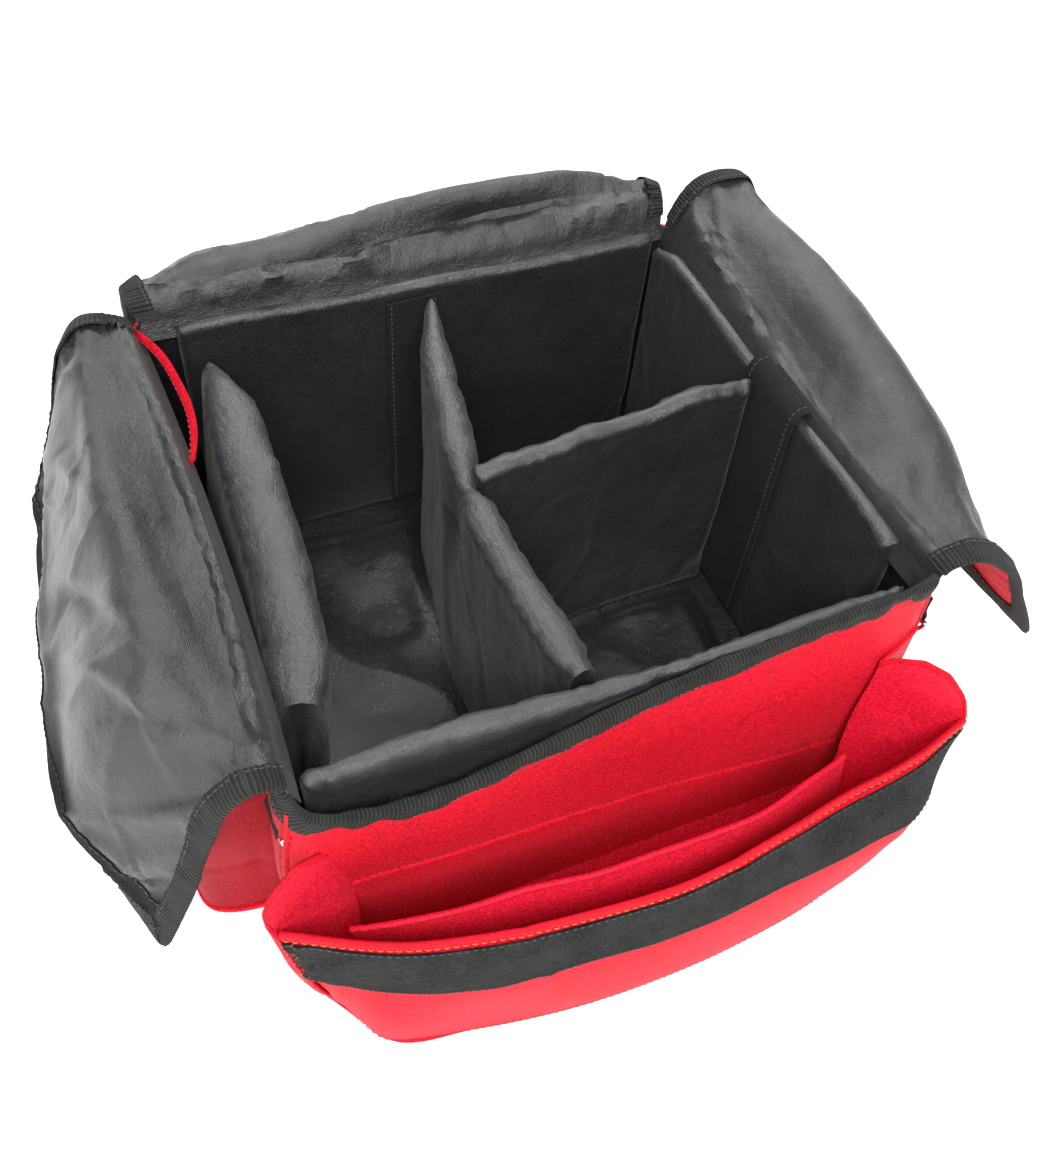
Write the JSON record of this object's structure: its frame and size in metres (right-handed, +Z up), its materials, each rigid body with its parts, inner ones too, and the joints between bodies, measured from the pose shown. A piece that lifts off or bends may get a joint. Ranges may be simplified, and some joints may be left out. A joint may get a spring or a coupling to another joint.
{
  "type": "padded grip bag",
  "caption": "Open-topped soft box bag with side flaps, a lid, bellows pockets and a padded insert whose dividers lift out.",
  "frame": {"origin": "middle of the underside of the base, on the surface it stands on", "axes": "+Z up, -Y is the front with the bellows pocket, +X is the right-hand side"},
  "size_m": [0.5228, 0.5767, 0.2424],
  "materials": {
    "red_cloth": "woven nylon, satin",
    "black_lining": "coated nylon, satin sheen",
    "binding_tape": "ribbed tape, matte",
    "hook_loop_tape": "napped tape, matte",
    "webbing": "woven webbing, matte",
    "foam": "soft foam, matte",
    "board": "matte sheet",
    "ring_steel": "polished wire"
  },
  "bodies": {
    "bag": {"bottom_panel": "red_cloth", "base_board": "board", "front_wall": "red_cloth", "back_wall": "red_cloth", "left_wall": "red_cloth", "right_wall": "red_cloth", "lining": "black_lining", "front_binding": "binding_tape", "left_seam_facing": "red_cloth", "insert_left_cover": "black_lining", "insert_left_foam": "foam", "insert_back_cover": "black_lining", "insert_back_foam": "foam", "insert_right_cover": "black_lining", "insert_right_foam": "foam", "insert_front_cover": "black_lining", "insert_front_foam": "foam", "left_pocket": "red_cloth", "ring_tab_left": "webbing", "ring_tab_right": "webbing", "pocket_gusset_left": "red_cloth", "pocket_gusset_right": "red_cloth", "pocket_bottom": "red_cloth"},
    "ring_left": {"d_ring_left": "ring_steel"},
    "ring_right": {"d_ring_right": "ring_steel"},
    "long_divider": {"long_divider_cover": "black_lining", "long_divider_foam": "foam", "long_divider_tab_back": "hook_loop_tape", "long_divider_tab_front": "hook_loop_tape"},
    "cross_divider": {"cross_divider_cover": "black_lining", "cross_divider_foam": "foam", "cross_divider_tab": "hook_loop_tape"},
    "pocket_front": {"pocket_panel": "red_cloth", "pocket_hem": "red_cloth", "pocket_loop_tape": "hook_loop_tape", "pocket_organizer": "red_cloth"},
    "left_flap_base": {"left_flap_base_shell": "red_cloth", "left_flap_base_lining": "black_lining", "left_flap_base_binding": "binding_tape"},
    "left_flap_outer": {"left_flap_shell": "red_cloth", "left_flap_lining": "black_lining", "left_flap_binding": "binding_tape", "left_flap_hook_tape": "hook_loop_tape"},
    "right_flap_base": {"right_flap_base_shell": "red_cloth", "right_flap_base_lining": "black_lining", "right_flap_base_binding": "binding_tape"},
    "right_flap_outer": {"right_flap_shell": "red_cloth", "right_flap_lining": "black_lining", "right_flap_binding": "binding_tape", "right_flap_loop_tape": "hook_loop_tape"},
    "lid_base": {"lid_base_shell": "red_cloth", "lid_base_lining": "black_lining", "lid_base_binding": "binding_tape"},
    "lid_outer": {"lid_shell": "red_cloth", "lid_lining": "black_lining", "lid_binding": "binding_tape", "lid_hook_tape": "hook_loop_tape"}
  },
  "joints": [
    {"name": "left_flap_hinge", "type": "hinge", "parent": "bag", "child": "left_flap_base", "pos_m": [-0.179, 0, 0.2125], "axis": [0, -1, 0], "range_deg": [-144, 0]},
    {"name": "left_flap_fold", "type": "hinge", "parent": "left_flap_base", "child": "left_flap_outer", "pos_m": [-0.22107, 0, 0.24307], "axis": [0, -1, 0], "range_deg": [-110, 0]},
    {"name": "right_flap_hinge", "type": "hinge", "parent": "bag", "child": "right_flap_base", "pos_m": [0.179, 0, 0.2075], "axis": [0, 1, 0], "range_deg": [-144, 0]},
    {"name": "right_flap_fold", "type": "hinge", "parent": "right_flap_base", "child": "right_flap_outer", "pos_m": [0.22107, 0, 0.23806], "axis": [0, 1, 0], "range_deg": [-110, 0]},
    {"name": "lid_hinge", "type": "hinge", "parent": "bag", "child": "lid_base", "pos_m": [0, 0.164, 0.217], "axis": [-1, 0, 0], "range_deg": [-142, 0]},
    {"name": "lid_fold", "type": "hinge", "parent": "lid_base", "child": "lid_outer", "pos_m": [0, 0.19552, 0.24163], "axis": [-1, 0, 0], "range_deg": [-99, 0]},
    {"name": "pocket_slide", "type": "slide", "parent": "bag", "child": "pocket_front", "axis": [0, -1, 0], "range_m": [-0.048, 0], "deforming": ["pocket_gusset_left", "pocket_gusset_right", "pocket_bottom"]},
    {"name": "long_divider_lift", "type": "slide", "parent": "bag", "child": "long_divider", "axis": [0, 0, 1], "range_m": [0, 0.19]},
    {"name": "cross_divider_lift", "type": "slide", "parent": "bag", "child": "cross_divider", "axis": [0, 0, 1], "range_m": [0, 0.19]},
    {"name": "ring_swing_left", "type": "hinge", "parent": "bag", "child": "ring_left", "pos_m": [-0.18295, -0.151, 0.16], "axis": [0, 1, 0], "range_deg": [0, 80]},
    {"name": "ring_swing_right", "type": "hinge", "parent": "bag", "child": "ring_right", "pos_m": [0.18295, -0.151, 0.16], "axis": [0, -1, 0], "range_deg": [0, 80]}
  ],
  "couplings": [
    {"joint": "left_flap_fold", "follows": "left_flap_hinge", "ratio": 0.75694},
    {"joint": "right_flap_fold", "follows": "right_flap_hinge", "ratio": 0.75694},
    {"joint": "lid_fold", "follows": "lid_hinge", "ratio": 0.69014}
  ]
}
